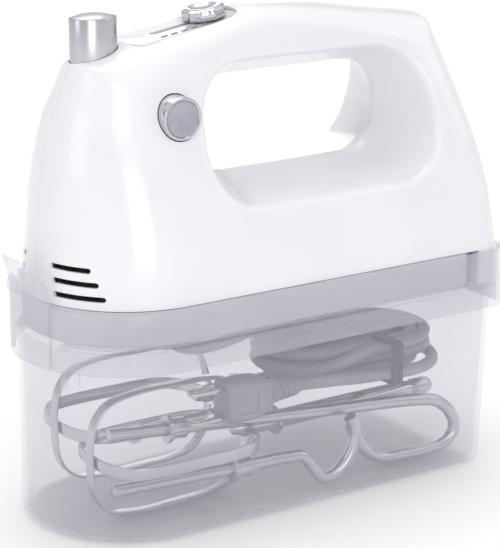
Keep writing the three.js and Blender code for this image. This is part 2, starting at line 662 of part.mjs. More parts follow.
part("chassis", chassis(), zinc);
part("bearing_front", bearing(-31.5, -26.5), brass);
part("bearing_rear", bearing(52.5, 57.5), brass);
part("rear_bracket", rearBracket(), zinc);

// ---- Beaters and dough hooks ----

// A strip of even thickness bent along a line in the (x, v) plane
function ribbon(line, thickness) {
  const sides = [1, -1].map((s) => line.map((p, i) => {
    const along = line[Math.min(i + 1, line.length - 1)].clone().sub(line[Math.max(i - 1, 0)]).normalize();
    return new THREE.Vector2(p.x - along.y * s * thickness / 2, p.y + along.x * s * thickness / 2);
  }));
  return new THREE.Shape([...sides[0], ...sides[1].reverse()]);
}

// A round-cornered loop from one side of the hub, round the front and back to the other side
function loopLine(front, half, hub, hubHalf) {
  const flank = [[hub, hubHalf], [hub - 1.6, 11.5], [hub - 4.6, half - 7], [hub - 10, half - 2.4],
    [hub - 18, half - 0.4], [hub - 30, half], [front + 17, half - 0.5], [front + 9, half - 2.6],
    [front + 3.2, half - 8], [front + 0.6, half - 15]];
  const points = [...flank, [front, 0], ...flank.map(([x, v]) => [x, -v]).reverse()];
  return new THREE.SplineCurve(points.map(([x, v]) => new THREE.Vector2(x, v))).getPoints(34);
}

for (const { name, y, z } of beaters) {
  const half = beater.strip / 2;
  const outer = ribbon(loopLine(beater.front, beater.half, beater.hub, 4.9), beater.thick);
  const inner = ribbon(loopLine(beater.front + 1.6, beater.half - 0.6, beater.hub - 1, 4.9), beater.thick);
  part(`${name}_upright_loop`, prismY(outer, y - half, y + half).translate(0, 0, z), steel);
  part(`${name}_flat_loop`, prismZ(inner, z - half, z + half).translate(0, y, 0), steel);
  const { hub, end, shaft: r, tip, collar } = beater;
  const profile = [[0, hub - 7], [tip, hub - 7], [r, hub - 2], [r, hub + 13.6], [collar, hub + 14],
    [collar, hub + 15.4], [r, hub + 15.8], [r, end - 3], [tip, end], [0, end]];
  const wings = solid(box(hub + 31, hub + 37, -7, 7, -0.7, 0.7));
  part(`${name}_shaft`, union(solid(turnedX(profile, 16)), wings).translate([0, y, z]), steel);
}

// Each hook is a bent rod: a straight shaft, then a bend given from the shaft's end
function hookLine(length, bend) {
  return [...[0, length / 3, (2 * length) / 3].map((x) => [x, 0]), ...bend.map(([x, z]) => [length + x, z])];
}

function doughHook({ name, start, heading, lean, length, collarAt, bend }) {
  const hook = new THREE.Group();
  hook.position.set(...start);
  hook.rotation.set(0, lean, heading);
  group.add(hook);
  const line = curveThrough(hookLine(length, bend).map(([x, z]) => [x, 0, z]));
  part(`${name}_rod`, tube(line, rod, 8, 36), steel, hook);
  const bore = rod + gap;
  const collar = [[bore, 0], [6, 0], [6, 1.6], [4.4, 1.8], [4.4, 9], [bore, 9], [bore, 0]];
  part(`${name}_collar`, turnedX(collar.map(([r, x]) => [r, collarAt + x]), 16), steel, hook);
}

hooks.forEach(doughHook);

// ---- Power cord ----

// It leaves the cover on a slant, lies over the hank, is wound into it and comes out to the plug
const along = (distance) =>
  [exit.x + distance * Math.cos(exit.dip), 0, exit.z - distance * Math.sin(exit.dip)];
const leadRoute = [along(exit.length + 1), along(exit.length + 4), [-32.5, 0.1, 63.8], [-26, 0.5, 62.6],
  [-18, 2, 62], [-8, 5, 61.8], [2, 9, 61.7], [12, 13, 61.6], [22, 16, 61]];
const tailRoute = [[66, -29.2, 44.2], [56, -29.2, 44.4], [46, -29.2, 45], [36, -29.2, 45.8],
  [26, -29.2, 46.9], [16, -29.2, 47.8], [9, -29.2, 48.5], [4.3, -29.2, 48.6]];

part("strain_relief", turned([[0, 0], [5.8, 0], [5.8, 5], [4.2, exit.length], [0, exit.length]], 16)
  .rotateY(Math.PI / 2 + exit.dip).translate(exit.x, 0, exit.z), darkPvc);
part("cord_lead", tube(curveThrough(leadRoute), cordRadius, 8, 14), darkPvc);
part("cord_tail", tube(curveThrough(tailRoute), cordRadius, 8, 8), darkPvc);

const hankPlan = rounded(hank.front, hank.rear, -hank.half, hank.half, hank.half - 0.01);
part("cord_hank", prismZ(hankPlan, hank.bottom, hank.bottom + hank.height, 8), darkPvc);

const hankTop = hank.bottom + hank.height;
const tie = rounded(-33, hank.half + 1.4, hank.bottom - 1.3, hankTop + 1.3, 3);
tie.holes.push(rounded(-32.2, hank.half + 0.5, hank.bottom - gap, hankTop + gap, 0.4));
part("cord_tie", prismX(tie, 52, 58, 3), blackPlastic);

function plugBody() {
  const [a, b] = [plug.width / 2, plug.height / 2];
  const levels = [[0, 0.8], [2, 0], [13, 0], [20, 2.4], [plug.length, 3.4]]
    .map(([x, inset]) => [plug.x + x, inset]);
  const outlines = levels.map(([, inset]) =>
    outlineOf(rounded(inset - a, a - inset, inset - b, b - inset, 3.2)));
  const body = solid(loft(outlines, (p, i) => new THREE.Vector3(levels[i][0], plug.y + p.x, plug.z + p.y)));
  const end = plug.x + plug.length;
  const sleeve = solid(turnedX([[0, end - 2], [4.6, end - 2], [3.6, end + 14], [0, end + 14]], 12)
    .translate(0, plug.y, plug.z));
  return union(body, sleeve);
}

part("power_plug", plugBody(), darkPvc);
[-6.35, 6.35].forEach((offset, i) => {
  const blade = rounded(plug.x - 16.3, plug.x - gap, plug.z + offset - 0.75, plug.z + offset + 0.75, 0.6);
  part(`plug_blade_${i + 1}`, prismY(blade, plug.y - 3.1, plug.y + 3.1, 2), brass);
});

export default group;
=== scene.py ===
# Hand mixer on its clear storage case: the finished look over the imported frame. Metres, +Z up, nose to -X.
from math import atan2, cos, pi, radians, remainder, sin, sqrt
import bpy
import bmesh
from mathutils import Matrix, Vector


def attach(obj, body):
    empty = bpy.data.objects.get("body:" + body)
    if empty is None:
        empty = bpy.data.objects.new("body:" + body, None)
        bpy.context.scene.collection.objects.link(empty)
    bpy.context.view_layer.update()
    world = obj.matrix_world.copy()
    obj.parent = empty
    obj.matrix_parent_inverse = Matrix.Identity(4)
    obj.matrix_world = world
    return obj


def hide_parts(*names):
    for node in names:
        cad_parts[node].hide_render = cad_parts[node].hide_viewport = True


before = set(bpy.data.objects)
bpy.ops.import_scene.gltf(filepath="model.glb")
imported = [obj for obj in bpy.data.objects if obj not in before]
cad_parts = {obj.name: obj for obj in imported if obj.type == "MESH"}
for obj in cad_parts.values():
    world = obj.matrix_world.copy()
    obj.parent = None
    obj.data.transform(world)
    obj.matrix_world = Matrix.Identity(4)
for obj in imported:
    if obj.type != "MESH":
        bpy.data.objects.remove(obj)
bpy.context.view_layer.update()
mm = 0.001  # sizes below are in millimetres


# Working as by hand: everything is deselected before a primitive is added or an operator runs

def deselectAll():
    if bpy.context.object and bpy.context.object.mode != "OBJECT":
        bpy.ops.object.mode_set(mode="OBJECT")
    bpy.ops.object.select_all(action="DESELECT")


def activate(*pieces):
    deselectAll()
    for piece in pieces:
        piece.select_set(True)
    bpy.context.view_layer.objects.active = pieces[0]
    return pieces[0]


def named(name):
    piece = bpy.context.object
    piece.name = name
    piece.data.name = name
    return piece


def settled(piece):
    activate(piece)
    bpy.ops.object.transform_apply(location=True, rotation=True, scale=True)
    return piece


def placed(piece, at=(0, 0, 0), turn=(0, 0, 0)):
    # Turns a finished piece about the origin, then moves it; both go into its mesh
    piece.rotation_euler = turn
    piece.location = Vector(at) * mm
    return settled(piece)


def addBlock(name, low, high):
    deselectAll()
    low, high = Vector(low) * mm, Vector(high) * mm
    bpy.ops.mesh.primitive_cube_add(size=1, location=(low + high) / 2)
    piece = named(name)
    piece.scale = high - low
    return settled(piece)


def addRod(name, radius, start, end, sides=48):
    deselectAll()
    start, end = Vector(start) * mm, Vector(end) * mm
    along = end - start
    bpy.ops.mesh.primitive_cylinder_add(vertices=sides, radius=radius * mm, depth=along.length,
                                        location=(start + end) / 2,
                                        rotation=along.to_track_quat("Z", "Y").to_euler())
    return settled(named(name))


def edit(piece):
    if bpy.context.object is not piece or piece.mode != "EDIT":
        activate(piece)
        bpy.ops.object.mode_set(mode="EDIT")


def choose(piece, test, kind="VERT"):
    # The test reads millimetres: a point, an edge's two ends, or a face's middle and normal
    edit(piece)
    bpy.ops.mesh.select_mode(type=kind)
    bpy.ops.mesh.select_all(action="DESELECT")
    mesh = bmesh.from_edit_mesh(piece.data)
    if kind == "VERT":
        for vert in mesh.verts:
            vert.select = bool(test(vert.co / mm))
    elif kind == "EDGE":
        for edge in mesh.edges:
            edge.select = bool(test(edge.verts[0].co / mm, edge.verts[1].co / mm))
    else:
        for face in mesh.faces:
            face.select = bool(test(face.calc_center_median() / mm, face.normal))
    mesh.select_flush_mode()
    bmesh.update_edit_mesh(piece.data)
    return piece


def grow(value, centre):
    bpy.ops.transform.resize(value=value, center_override=Vector(centre) * mm)


def shift(value):
    bpy.ops.transform.translate(value=Vector(value) * mm)


def extrude(value):
    bpy.ops.mesh.extrude_region_move(TRANSFORM_OT_translate={"value": Vector(value) * mm})


def modify(piece, kind, **settings):
    activate(piece)
    bpy.ops.object.modifier_add(type=kind)
    modifier = piece.modifiers[-1]
    for key, value in settings.items():
        setattr(modifier, key, value)
    bpy.ops.object.modifier_apply(modifier=modifier.name)
    return piece


def combine(piece, tool, operation="DIFFERENCE"):
    modify(piece, "BOOLEAN", object=tool, operation=operation, solver="EXACT")
    bpy.data.objects.remove(tool)
    return piece


def joined(*pieces):
    activate(*pieces)
    bpy.ops.object.join()
    return bpy.context.object


def copied(piece, name):
    activate(piece)
    bpy.ops.object.duplicate()
    return named(name)


def outward(piece):
    edit(piece)
    bpy.ops.mesh.select_all(action="SELECT")
    bpy.ops.mesh.remove_doubles(threshold=0.00001)
    bpy.ops.mesh.normals_make_consistent(inside=False)
    bpy.ops.object.mode_set(mode="OBJECT")
    return piece


def softened(piece, width, segments=2, angle=40):
    return modify(piece, "BEVEL", width=width * mm, segments=segments, limit_method="ANGLE",
                  angle_limit=radians(angle), use_clamp_overlap=True)


def smoothed(piece, angle=35):
    activate(piece)
    bpy.ops.object.shade_smooth_by_angle(angle=radians(angle))
    return piece


def dressed(piece, material, body, slot, *nodes):
    smoothed(piece)
    piece.data.materials.clear()
    piece.data.materials.append(material)
    if nodes:
        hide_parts(*nodes)
    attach(piece, body)
    return piece


# A block whose edges along one axis are rounded to a radius
def addRounded(name, low, high, axis, radius, steps=6):
    piece = addBlock(name, low, high)
    choose(piece, lambda a, b: abs((a - b)[axis]) > 0.9 * (high[axis] - low[axis]), "EDGE")
    bpy.ops.mesh.bevel(offset=radius * mm, segments=steps)
    bpy.ops.object.mode_set(mode="OBJECT")
    return piece


# A turned piece about Z: a point is extruded along the profile of radius and height, then spun
def addTurned(name, profile, sides=48):
    deselectAll()
    bpy.ops.mesh.primitive_circle_add(vertices=3, radius=0.001)
    piece = named(name)
    edit(piece)
    bpy.ops.mesh.select_mode(type="VERT")
    bpy.ops.mesh.select_all(action="SELECT")
    bpy.ops.mesh.merge(type="CENTER")
    places = [Vector((r, 0, z)) for r, z in profile]
    shift(places[0])
    for before, after in zip(places, places[1:]):
        bpy.ops.mesh.extrude_vertices_move(TRANSFORM_OT_translate={"value": (after - before) * mm})
    bpy.ops.mesh.select_all(action="SELECT")
    bpy.ops.mesh.spin(steps=sides, angle=2 * pi, center=(0, 0, 0), axis=(0, 0, 1))
    return outward(piece)


# A smooth line of round or strip section through places, made a mesh
def addWire(name, places, radius, width=0.0, smoothness=8, sides=4):
    deselectAll()
    curve = bpy.data.curves.new(name, "CURVE")
    curve.dimensions = "3D"
    curve.resolution_u = smoothness
    curve.twist_mode = "Z_UP" if width else "MINIMUM"
    curve.bevel_depth = radius * mm
    curve.bevel_resolution = sides
    curve.extrude = width / 2 * mm
    curve.use_fill_caps = True
    spline = curve.splines.new("BEZIER")
    spline.bezier_points.add(len(places) - 1)
    for point, place in zip(spline.bezier_points, places):
        point.co = Vector(place) * mm
        point.handle_left_type = point.handle_right_type = "AUTO"
    piece = bpy.data.objects.new(name, curve)
    bpy.context.collection.objects.link(piece)
    return piece


def asMesh(piece):
    activate(piece)
    bpy.ops.object.convert(target="MESH")
    return outward(settled(bpy.context.object))


# Finishes

def linear(hexColour):
    channels = [int(hexColour[i:i + 2], 16) / 255 for i in (0, 2, 4)]
    return [c / 12.92 if c <= 0.04045 else ((c + 0.055) / 1.055) ** 2.4 for c in channels] + [1.0]


def addNode(tree, kind, settings=None, inputs=None, links=None):
    node = tree.nodes.new(kind)
    for key, value in (settings or {}).items():
        setattr(node, key, value)
    for key, value in (inputs or {}).items():
        node.inputs[key].default_value = value
    for key, source in (links or {}).items():
        tree.links.new(source, node.inputs[key])
    return node


# Colour in soft clouds, and one grain that drives both the gloss and a fine relief, all at real sizes
def makeFinish(name, colours, cloudMm, grainMm, reliefMm, gloss, sockets, stretch=(1, 1, 1)):
    material = bpy.data.materials.new(name)
    material.use_nodes = True
    tree = material.node_tree
    shader = tree.nodes["Principled BSDF"]
    for key, value in sockets.items():
        shader.inputs[key].default_value = value
    place = addNode(tree, "ShaderNodeTexCoord").outputs["Object"]
    cloud = addNode(tree, "ShaderNodeTexNoise", None, {"Scale": 1 / (cloudMm * mm), "Detail": 2.0},
                    {"Vector": place})
    drawn = addNode(tree, "ShaderNodeMapping", None, {"Scale": stretch}, {"Vector": place})
    grain = addNode(tree, "ShaderNodeTexNoise", None, {"Scale": 1 / (grainMm * mm), "Detail": 4.0},
                    {"Vector": drawn.outputs["Vector"]})
    shade = addNode(tree, "ShaderNodeValToRGB", None, None, {"Fac": cloud.outputs["Fac"]})
    for stop, colour, position in zip(shade.color_ramp.elements, colours, (0.35, 0.65)):
        stop.color = linear(colour)
        stop.position = position
    roughness = addNode(tree, "ShaderNodeMapRange", None,
                        {"From Min": 0.3, "From Max": 0.7, "To Min": gloss[0], "To Max": gloss[1]},
                        {"Value": grain.outputs["Fac"]})
    relief = addNode(tree, "ShaderNodeBump", None, {"Strength": 1.0, "Distance": reliefMm * mm},
                     {"Height": grain.outputs["Fac"]})
    tree.links.new(shade.outputs["Color"], shader.inputs["Base Color"])
    tree.links.new(roughness.outputs["Result"], shader.inputs["Roughness"])
    tree.links.new(relief.outputs["Normal"], shader.inputs["Normal"])
    return material


# ABS, injection moulded in a polished mould: bright cool white under an even gloss with a faint long ripple
whiteAbs = makeFinish("White ABS gloss moulded", ("E4E4E9", "E9E9ED"), 45, 9, 0.01, (0.14, 0.2),
                      {"IOR": 1.54, "Coat Weight": 0.2, "Coat Roughness": 0.06})
# Grey ABS with a fine spark-eroded grain of about 0.4 mm, which spreads the shine
greyAbs = makeFinish("Grey ABS fine textured", ("C9CAD1", "D1D2D8"), 30, 0.4, 0.008, (0.36, 0.48),
                     {"IOR": 1.54})
# Styrene copolymer, clear moulded with a smoky lilac tint: the contents show and its edges shine
clearSan = makeFinish("Clear SAN moulded", ("D3D3DF", "DCDCE7"), 60, 14, 0.006, (0.05, 0.09),
                      {"IOR": 1.57, "Alpha": 0.17})
# The same copolymer in the tray and latch, thicker and doubled by the tub behind it, so it looks greyer
traySan = makeFinish("Clear SAN moulded thick", ("CACAD5", "D3D3DD"), 60, 14, 0.006, (0.05, 0.09),
                     {"IOR": 1.57, "Alpha": 0.3})
# Chrome over ABS, its sides brushed upright: a bright metal with streaks along Z about 0.25 mm apart
brushedChrome = makeFinish("Chrome plated ABS brushed", ("C2C2C8", "C9C9CE"), 14, 0.25, 0.001, (0.22, 0.29),
                           {"Metallic": 1.0}, (1, 1, 0.02))
# The same plating left as it comes from a polished mould
brightChrome = makeFinish("Chrome plated ABS polished", ("C4C4CA", "CBCBD0"), 20, 3, 0.001, (0.08, 0.13),
                          {"Metallic": 1.0})
# Satin chrome with a fine matt grain on the boost button's dished face
satinChrome = makeFinish("Satin chrome plated ABS", ("A5A5B0", "B2B2BC"), 6, 0.25, 0.003, (0.34, 0.44),
                         {"Metallic": 0.7})
# Steel wire and strip, plated and polished along the length, with faint drawing marks
platedSteel = makeFinish("Chrome plated steel polished", ("BEBEC6", "C8C8CF"), 25, 0.6, 0.001, (0.14, 0.22),
                         {"Metallic": 1.0}, (0.05, 1, 1))
# Soft PVC, extruded: grey with a satin skin
greyPvc = makeFinish("Grey PVC extruded", ("888892", "94949D"), 18, 0.5, 0.01, (0.4, 0.52), {"IOR": 1.53})
# Polyamide and ABS in black, moulded with a light matt grain
blackPlastic = makeFinish("Black plastic matt moulded", ("1E1E21", "2A2A2D"), 10, 0.4, 0.01, (0.45, 0.6),
                          {"IOR": 1.53})
# Natural nylon for the gears and the ejector: creamy, waxy and slightly cloudy
naturalNylon = makeFinish("Natural nylon moulded", ("E4DFCC", "EFEADB"), 7, 1.0, 0.006, (0.38, 0.5),
                          {"IOR": 1.53, "Subsurface Weight": 0.1, "Subsurface Scale": 0.002})
# Enamelled copper wire in layers about 0.4 mm apart
woundCopper = makeFinish("Enamelled copper wound", ("8F4A26", "C4773F"), 3, 0.4, 0.06, (0.28, 0.42),
                         {"Metallic": 1.0}, (1, 0.12, 0.12))
# Brass, turned and pressed: warm yellow with fine machining rings
turnedBrass = makeFinish("Brass pressed and tumbled", ("BC9A4C", "D2B264"), 5, 0.3, 0.003, (0.24, 0.36),
                         {"Metallic": 1.0})
# Nickel plated over brass on the plug's blades: a warm pale grey metal, slightly satin
nickelBrass = makeFinish("Nickel plated brass", ("C3C0BA", "CDCAC5"), 8, 0.4, 0.001, (0.2, 0.3),
                         {"Metallic": 1.0})
# Pressed carbon graphite: near black and dusty
pressedCarbon = makeFinish("Carbon graphite pressed", ("1B1B1C", "2A2A2B"), 3, 0.3, 0.02, (0.6, 0.75),
                           {"IOR": 1.6})
# Zinc-plated steel sheet and laminations: pale bluish grey, slightly spangled
zincSteel = makeFinish("Zinc plated steel", ("A0A3A8", "B4B7BB"), 4, 0.5, 0.004, (0.32, 0.46),
                       {"Metallic": 1.0})
# Turned steel of the motor shaft and the springs
turnedSteel = makeFinish("Bright turned steel", ("B2B2B6", "C4C4C8"), 6, 0.25, 0.002, (0.2, 0.3),
                         {"Metallic": 1.0})
# The speed scale's ticks, pad printed in dark grey ink
greyInk = makeFinish("Grey ink pad printed", ("3C3C42", "46464C"), 4, 0.3, 0.002, (0.45, 0.55),
                     {"IOR": 1.5})
# Matt white paper sweep under the object
paperSweep = makeFinish("White paper sweep", ("F6F6F7", "F9F9FA"), 300, 2, 0.005, (0.7, 0.8), {"IOR": 1.4})
print("finishes made")

# Camera, floor and light

view = {"azimuth": -33.6, "elevation": 15.7, "target": (-0.7, 0, 100.8), "distance": 864, "lens": 132.8,
        "shift": -0.0387}
studio = {"sky": {0.0: 0.85, 0.12: 0.75, 0.3: 0.42, 0.6: 0.96}, "floorSize": 6, "lamps": {
    "key": {"at": (-0.6, -1.5, 1.3), "size": 0.9, "power": 3},
    "nose": {"at": (-1.7, -0.1, 0.7), "size": 0.8, "power": 2.5},
    "rear": {"at": (1.4, -0.8, 0.9), "size": 0.8, "power": 1.5},
    "low": {"at": (-0.5, -1.6, 0.35), "size": 0.7, "power": 3.4},
    "lowFar": {"at": (0.7, 1.6, 0.4), "size": 0.8, "power": 2.5},
    "top": {"at": (0.1, 0.4, 1.7), "size": 1.2, "power": 7}}}


def setStudio():
    deselectAll()
    azimuth, elevation = radians(view["azimuth"]), radians(view["elevation"])
    target = Vector(view["target"]) * mm
    away = Vector((sin(azimuth) * cos(elevation), -cos(azimuth) * cos(elevation), sin(elevation)))
    bpy.ops.object.camera_add(location=target + away * view["distance"] * mm,
                              rotation=away.to_track_quat("Z", "Y").to_euler())
    camera = bpy.context.object
    camera.data.lens = view["lens"]
    camera.data.shift_y = view["shift"]
    camera.data.clip_start = 0.05
    bpy.context.scene.camera = camera
    bpy.ops.mesh.primitive_plane_add(size=studio["floorSize"], location=(0, 0, -0.0003))
    floor = named("studio_floor")
    floor.data.materials.append(paperSweep)
    for name, lamp in studio["lamps"].items():
        aim = (Vector((0, 0, 0.1)) - Vector(lamp["at"])).to_track_quat("-Z", "Y").to_euler()
        bpy.ops.object.light_add(type="AREA", location=lamp["at"], rotation=aim)
        light = bpy.context.object
        light.name = f"light_{name}"
        light.data.size = lamp["size"]
        light.data.energy = lamp["power"]
    world = bpy.data.worlds.new("Studio")
    bpy.context.scene.world = world
    world.use_nodes = True
    tree = world.node_tree
    toSky = addNode(tree, "ShaderNodeTexCoord").outputs["Generated"]
    height = addNode(tree, "ShaderNodeSeparateXYZ", None, None, {"Vector": toSky}).outputs["Z"]
    strength = addNode(tree, "ShaderNodeValToRGB", None, None, {"Fac": height})
    # pale at the horizon and overhead, darker between, for the metals to show
    stops = strength.color_ramp.elements
    while len(stops) < len(studio["sky"]):
        stops.new(1)
    for stop, (position, level) in zip(stops, studio["sky"].items()):
        stop.position = position
        stop.color = (level, level, level, 1)
    tree.nodes["Background"].inputs["Color"].default_value = (1, 1, 1, 1)
    tree.links.new(strength.outputs["Color"], tree.nodes["Background"].inputs["Strength"])
    bpy.context.scene.view_settings.view_transform = "Standard"


setStudio()
print("studio set")

# Power cord: out of the cover, over the hank, wound into it, then along its side to the plug

cordExit = {"at": (-62, 0, 80.2), "dip": radians(30), "relief": 24}
hank = {"front": 29.8, "rear": 65.7, "outer": 22.95, "inner": 17.45, "layers": (54.95, 49.45, 43.95),
        "straight": 0.18, "start": 0.131, "stagger": 0.83, "change": 0.18, "laps": 4.5, "tailY": 29.2,
        "perLap": 24}
cordDiameter = 5.5
leadPlaces = [(-32.5, 0.1, 63.8), (-26, 0.5, 62.6), (-18, 2, 62), (-8, 5, 61.8), (2, 9, 61.7),
              (12, 13, 61.6), (22, 16, 61), (30, 17.2, 59.3), (37, 17.45, 57.3), (44, 17.45, 55.6),
              (50, 17.45, 55)]
tailPlaces = [(56, -29.2, 44.4), (46, -29.2, 45), (36, -29.2, 45.8), (26, -29.2, 46.9), (16, -29.2, 47.8),
              (9, -29.2, 48.5), (4.3, -29.2, 48.6), (-6, -29.2, 48.6)]


def alongExit(distance):
    x, y, z = cordExit["at"]
    return (x + distance * cos(cordExit["dip"]), y, z - distance * sin(cordExit["dip"]))


def eased(value):
    value = min(max(value, 0), 1)
    return value * value * (3 - 2 * value)


def windingPlaces():
    # The turns fill the hank from the top inside: out, down, in, down and out, one slot in each lap
    high, middle, low = hank["layers"]
    slots = [(hank["inner"], high), (hank["outer"], high), (hank["outer"], middle), (hank["inner"], middle),
             (hank["inner"], low), (hank["outer"], low)]
    count = round((hank["laps"] - hank["start"]) * hank["perLap"])
    places = []
    for i in range(count + 1):
        lap = hank["start"] + (hank["laps"] - hank["start"]) * i / count
        radius, z = slots[0]
        for n in range(1, len(slots)):
            share = eased((lap - n * hank["stagger"]) / hank["change"] + 0.5)
            radius += share * (slots[n][0] - slots[n - 1][0])
            z += share * (slots[n][1] - slots[n - 1][1])
        radius += eased((lap - hank["laps"] + 0.2) / 0.2) * (hank["tailY"] - hank["outer"])
        turn = lap % 1
        length = hank["rear"] - hank["front"]
        if turn < hank["straight"]:
            places.append((hank["front"] + length * turn / hank["straight"], radius, z))
        elif turn < 0.5:
            angle = pi / 2 - pi * (turn - hank["straight"]) / (0.5 - hank["straight"])
            places.append((hank["rear"] + radius * cos(angle), radius * sin(angle), z))
        elif turn < 0.5 + hank["straight"]:
            places.append((hank["rear"] - length * (turn - 0.5) / hank["straight"], -radius, z))
        else:
            angle = -pi / 2 - pi * (turn - 0.5 - hank["straight"]) / (0.5 - hank["straight"])
            places.append((hank["front"] + radius * cos(angle), radius * sin(angle), z))
    return places


def measured(places):
    return sum((Vector(b) - Vector(a)).length for a, b in zip(places, places[1:]))


def makeCord():
    sleevePlaces = [alongExit(d) for d in (3, 14, cordExit["relief"] + 1, cordExit["relief"] + 4)]
    places = sleevePlaces + leadPlaces + windingPlaces() + tailPlaces
    cord = addWire("power_cord", places, cordDiameter / 2, smoothness=6, sides=5)
    cord.data.use_fill_caps = False
    length = measured(places)
    print("cord length", round(length), "mm")
    cord.data.materials.append(greyPvc)
    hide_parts("cord_lead", "cord_hank", "cord_tail")
    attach(cord, "mixer")
    return cord, length


cord, cordLength = makeCord()

# The moulded sleeve tapers and carries ring grooves so that it bends evenly
relief = {"root": 5.8, "tip": 4.0, "collar": 5, "rings": 5, "groove": 0.7}


def makeRelief():
    length = cordExit["relief"]
    profile = [(0, 0), (relief["root"], 0), (relief["root"], relief["collar"])]
    pitch = (length - relief["collar"] - 1.5) / relief["rings"]
    for i in range(relief["rings"]):
        start = relief["collar"] + i * pitch
        narrowing = relief["tip"] - relief["root"] + 0.4
        radius = relief["root"] - 0.4 + narrowing * (start - relief["collar"]) / length
        profile += [(radius, start + 0.1), (radius - 0.12, start + pitch * 0.55),
                    (radius - relief["groove"], start + pitch * 0.62),
                    (radius - relief["groove"] - 0.1, start + pitch * 0.95)]
    profile += [(relief["tip"], length - 1), (relief["tip"] - 0.5, length), (0, length)]
    piece = addTurned("cord_sleeve", profile, 40)
    placed(piece, cordExit["at"], (0, pi / 2 + cordExit["dip"], 0))
    return dressed(piece, greyPvc, "mixer", "dark_pvc", "strain_relief")


sleeve = makeRelief()

plug = {"x": -34, "length": 24, "height": 18, "width": 14, "y": -29.2, "z": 48.6, "front": 12,
        "corner": 3.4, "grip": ((5, 0.93), (4, 0.82), (3, 0.7)), "dish": (3, 14, 5, 0.7), "neckRings": 4,
        "ringPitch": 3, "blade": 16, "bladeGap": 6.35, "bladeWidth": 6.2, "bladeThick": 1.5, "bladeTip": 2,
        "eye": (12.2, 1.55)}


def makePlug():
    x, y, z, half, tall = plug["x"], plug["y"], plug["z"], plug["width"] / 2, plug["height"] / 2
    body = addRounded("power_plug_body", (x, y - half, z - tall), (x + plug["front"], y + half, z + tall),
                      0, plug["corner"], 6)
    for reach, size in plug["grip"]:  # the grip narrows towards the cord
        choose(body, lambda middle, normal: normal.x > 0.9, "FACE")
        extrude((reach, 0, 0))
        grow((1, size, size), (0, y, z))
    softened(body, 1.0, 3, 35)
    rings = [(0, 0), (5.2, 0), (5.2, 2)]
    for i in range(plug["neckRings"]):
        start = plug["ringPitch"] * i
        rings += [(4.9 - 0.25 * i, 2.4 + start), (4.85 - 0.25 * i, 4 + start), (4.1 - 0.2 * i, 4.3 + start),
                  (4.0 - 0.2 * i, 5.1 + start)]
    rings += [(3.5, 14.6), (3.1, 15.2), (0, 15.2)]
    neck = placed(addTurned("plug_neck", rings, 32), (x + plug["length"] - 1.2, y, z), (0, pi / 2, 0))
    combine(body, neck, "UNION")
    near, far, tallHalf, depth = plug["dish"]
    recess = addRounded("grip_dish", (x + near, y - half - 3, z - tallHalf),
                        (x + far, y - half + depth, z + tallHalf), 1, 3, 5)
    combine(body, recess)
    return dressed(outward(body), greyPvc, "mixer", "dark_pvc", "power_plug")


plugBody = makePlug()


def makeBlade(number, side):
    z = plug["z"] + side * plug["bladeGap"]
    width, thick = plug["bladeWidth"] / 2, plug["bladeThick"] / 2
    blade = addBlock(f"plug_blade_{number}_pin", (plug["x"] - plug["blade"], plug["y"] - width, z - thick),
                     (plug["x"] + 0.4, plug["y"] + width, z + thick))
    choose(blade, lambda a, b: a.x < plug["x"] - 8 and b.x < plug["x"] - 8 and abs(a.z - b.z) > 1, "EDGE")
    bpy.ops.mesh.bevel(offset=plug["bladeTip"] * mm, segments=4)
    back, radius = plug["eye"]
    x = plug["x"] - back
    hole = addRod("blade_hole", radius, (x, plug["y"], z - 3), (x, plug["y"], z + 3), 24)
    combine(blade, hole)
    softened(blade, 0.25, 2)
    return dressed(blade, nickelBrass, "mixer", "brass", f"plug_blade_{number}")


blades = [makeBlade(1, -1), makeBlade(2, 1)]

tie = {"from": 52, "to": 58, "low": 39.9, "high": 59, "near": -33, "far": 27.2, "thick": 0.9}


def makeTie():
    # A soft strap pulled round the turns
    strap = addRounded("hank_strap", (tie["from"], tie["near"], tie["low"]),
                       (tie["to"], tie["far"], tie["high"]), 0, 3, 6)
    choose(strap, lambda middle, normal: abs(normal.x) > 0.9, "FACE")
    bpy.ops.mesh.delete(type="FACE")
    modify(strap, "SOLIDIFY", thickness=tie["thick"] * mm, offset=-1)
    softened(strap, 0.25, 2)
    return dressed(strap, blackPlastic, "mixer", "black_plastic", "cord_tie")


strap = makeTie()
print("cord wound")

# Storage case: a drafted tub, the tray that the mixer stands in, and the latch tongue at the nose

# Levels give height, half width, nose, rear and rear corner radius; the nose is half round
def addBullet(name, levels, noseSteps=40, cornerSteps=10):
    z, half, nose, rear, corner = levels[0]
    deselectAll()
    bpy.ops.mesh.primitive_plane_add(size=1, location=((nose + rear) / 2 * mm, 0, z * mm))
    piece = named(name)
    piece.scale = ((rear - nose) * mm, 2 * half * mm, 1)
    settled(piece)
    choose(piece, lambda p: p.x > 0)
    bpy.ops.mesh.bevel(offset=corner * mm, segments=cornerSteps, affect="VERTICES")
    choose(piece, lambda p: p.x < nose + 1)
    bpy.ops.mesh.bevel(offset=half * mm * 0.9999, segments=noseSteps, affect="VERTICES")
    for before, after in zip(levels, levels[1:]):
        z, half, nose, rear, corner = before
        choose(piece, lambda middle, normal: abs(middle.z - z) < 0.01 and abs(normal.z) > 0.9, "FACE")
        extrude((0, 0, after[0] - z))
        height = after[0]
        choose(piece, lambda p: abs(p.z - height) < 0.01 and p.x < nose + half + 0.1)
        grow((after[1] / half,) * 2 + (1,), (nose, 0, height))
        shift((after[2] - nose, 0, 0))
        for side in (-1, 1):
            choose(piece, lambda p: abs(p.z - height) < 0.01 and p.x > rear - corner - 0.1
                   and p.y * side > 0)
            grow((after[4] / corner,) * 2 + (1,), (rear, side * half, height))
            shift((after[3] - rear, side * (after[1] - half), 0))
    return outward(piece)


